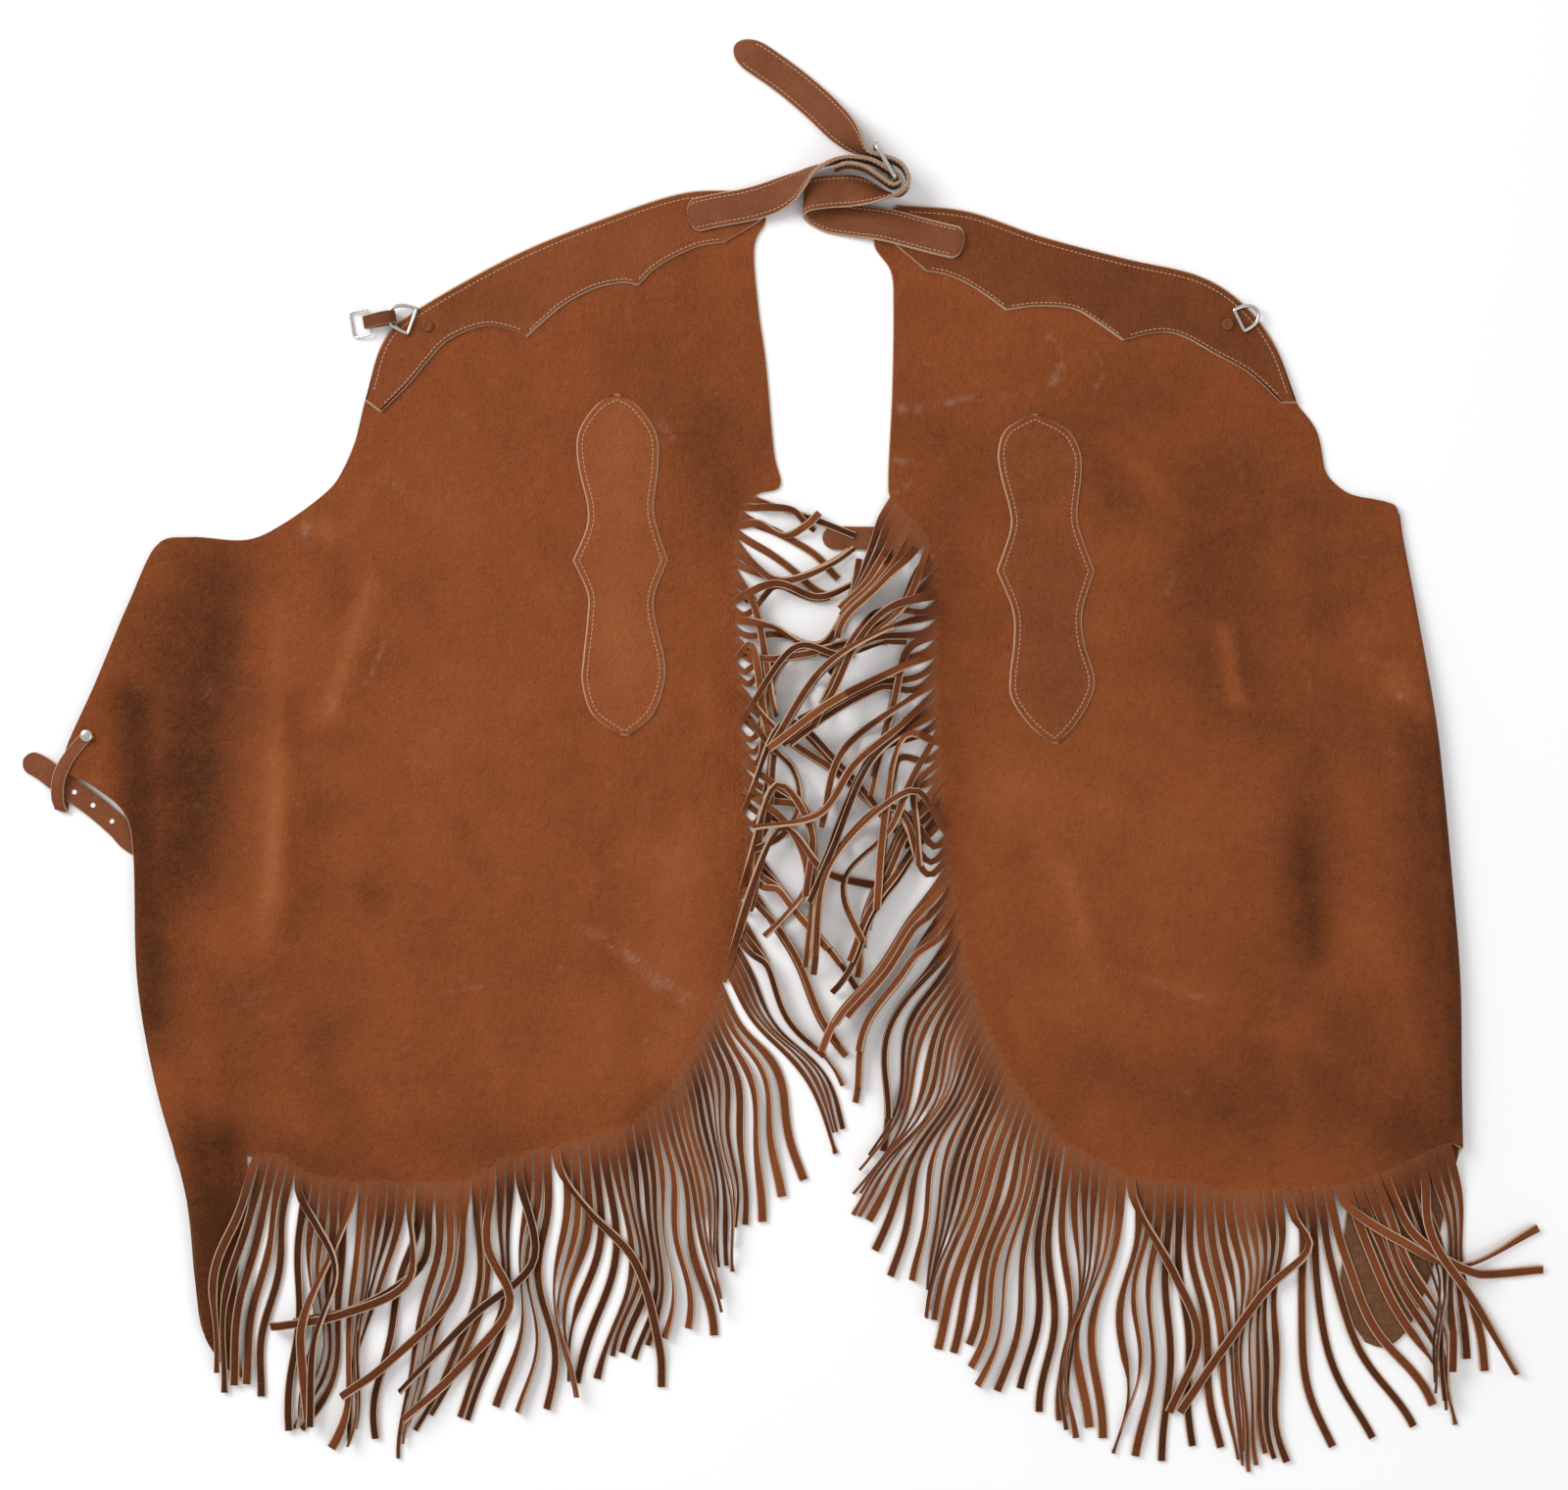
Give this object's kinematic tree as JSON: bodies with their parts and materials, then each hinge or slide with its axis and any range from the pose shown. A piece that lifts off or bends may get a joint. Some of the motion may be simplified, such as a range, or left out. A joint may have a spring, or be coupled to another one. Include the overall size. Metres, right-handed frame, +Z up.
{
  "type": "fringed leather riding chaps",
  "caption": "Western riding chaps of tan leather laid flat, with yokes, thigh patches, buckled waist strap and long cut fringe",
  "frame": {"origin": "centre of the base of the overall box, on the surface that the chaps lie on", "axes": "+Z up off the surface; +Y towards the waist; +X towards the right leg as seen from above"},
  "size_m": [1.163, 1.096, 0.0344],
  "materials": {
    "leg_leather": "oiled pull-up cowhide, tan",
    "yoke_leather": "oiled pull-up cowhide, tan",
    "patch_leather": "oiled pull-up cowhide, tan",
    "strap_leather": "strap leather, tan",
    "fringe_leather": "cut cowhide with pale raw edges",
    "nickel": "nickel plated"
  },
  "bodies": {
    "root": {"left_leg_panel": "leg_leather", "right_leg_panel": "leg_leather", "left_yoke": "yoke_leather", "right_yoke": "yoke_leather", "left_thigh_patch": "patch_leather", "right_thigh_patch": "patch_leather", "left_waist_strap": "strap_leather", "right_waist_strap": "strap_leather", "waist_buckle_frame": "nickel", "waist_buckle_prong": "nickel", "left_leg_strap": "strap_leather", "right_leg_strap": "strap_leather", "leg_strap_keeper": "strap_leather", "left_hip_rivet": "strap_leather", "right_hip_rivet": "strap_leather", "leg_strap_rivet": "nickel", "right_hip_ring": "nickel", "left_hip_ring": "nickel", "hip_strap": "strap_leather", "hip_strap_buckle": "nickel", "left_inner_fringe": "fringe_leather", "left_hem_fringe": "fringe_leather", "right_inner_fringe": "fringe_leather", "right_hem_fringe": "fringe_leather"}
  },
  "joints": []
}
